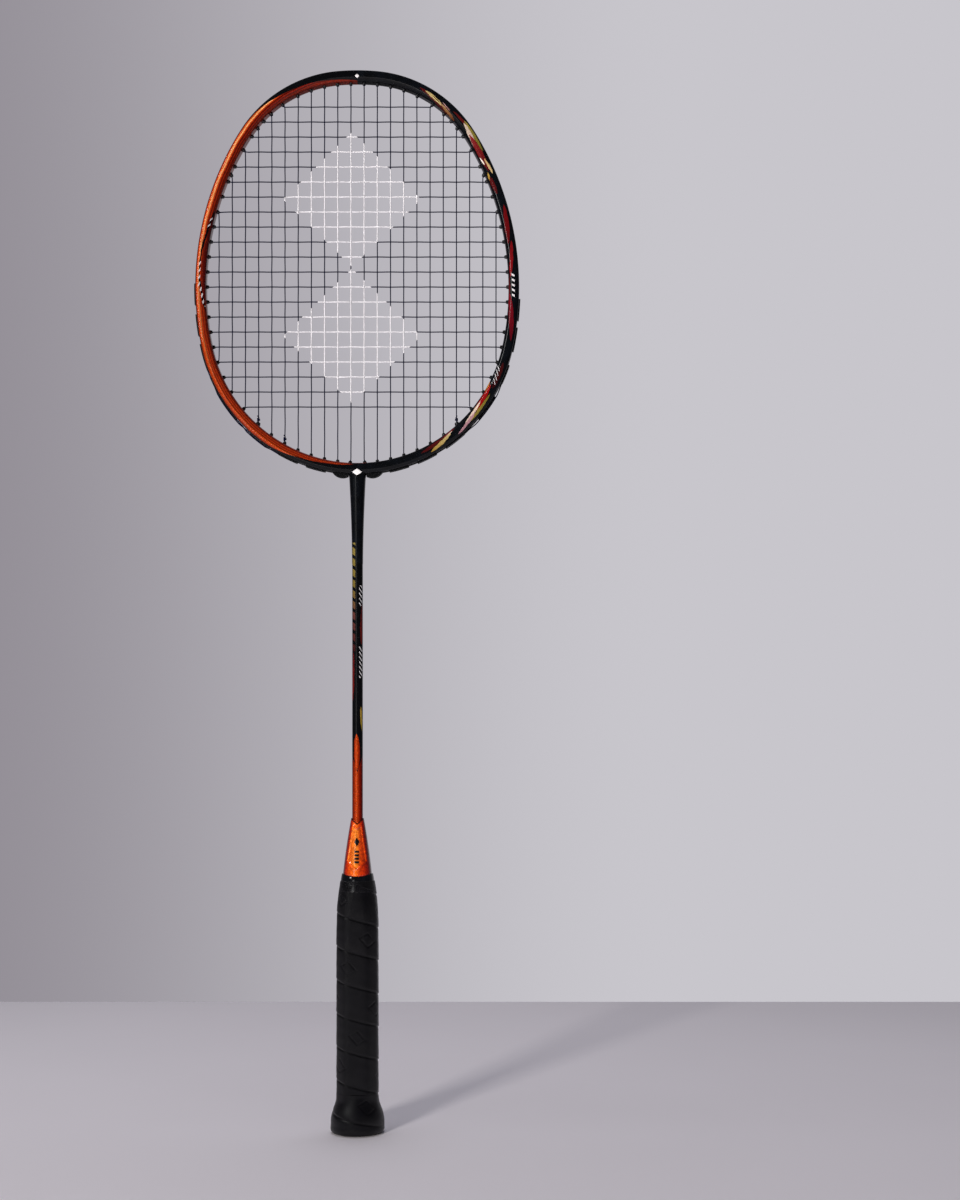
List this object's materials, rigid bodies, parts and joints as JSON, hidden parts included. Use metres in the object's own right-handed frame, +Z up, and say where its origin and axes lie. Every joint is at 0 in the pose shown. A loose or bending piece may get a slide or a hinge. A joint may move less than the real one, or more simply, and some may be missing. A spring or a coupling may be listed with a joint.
{
  "type": "badminton racket",
  "caption": "Badminton racket with a strung isometric head, one slim shaft, a painted cone and a wrapped grip.",
  "frame": {"origin": "on the floor under the handle's axis, at the middle of the butt's lowest face", "axes": "+Z up the racket to the crown of the head, +X to the right seen from the front, Y through the string bed"},
  "size_m": [0.2075, 0.0344, 0.675],
  "materials": {
    "frame_lacquer": "metallic lacquer over carbon",
    "black_lacquer": "gloss lacquer over carbon",
    "shaft_lacquer": "gloss lacquer over carbon",
    "cap_lacquer": "metallic lacquer on moulded plastic",
    "collar_gloss": "gloss",
    "joint_metal": "as machined",
    "handle_wood": "plain",
    "grip_pu": "embossed polyurethane",
    "finishing_vinyl": "gloss",
    "tack_steel": "plated",
    "butt_plastic": "satin",
    "grommet_nylon": "moulded satin",
    "pad_nylon": "moulded satin",
    "string_nylon": "coated multifilament"
  },
  "bodies": {
    "root": {"head_frame": "frame_lacquer", "t_joint": "joint_metal", "throat_sleeve": "black_lacquer", "shaft": "shaft_lacquer", "cone_cap": "cap_lacquer", "cap_collar": "collar_gloss", "handle_core": "handle_wood", "grip_tape": "grip_pu", "finishing_tape": "finishing_vinyl", "grip_tack": "tack_steel", "butt_disc": "butt_plastic", "crown_grommets": "grommet_nylon", "shoulder_shared_grommets": "grommet_nylon", "left_side_grommets": "grommet_nylon", "right_side_grommets": "grommet_nylon", "left_side_pads": "pad_nylon", "right_side_pads": "pad_nylon", "bow_pads": "pad_nylon", "throat_pads": "pad_nylon", "tie_off_grommets": "grommet_nylon", "main_strings": "string_nylon", "cross_strings": "string_nylon", "main_loops": "string_nylon", "cross_loops": "string_nylon", "string_knots": "string_nylon"}
  },
  "joints": []
}
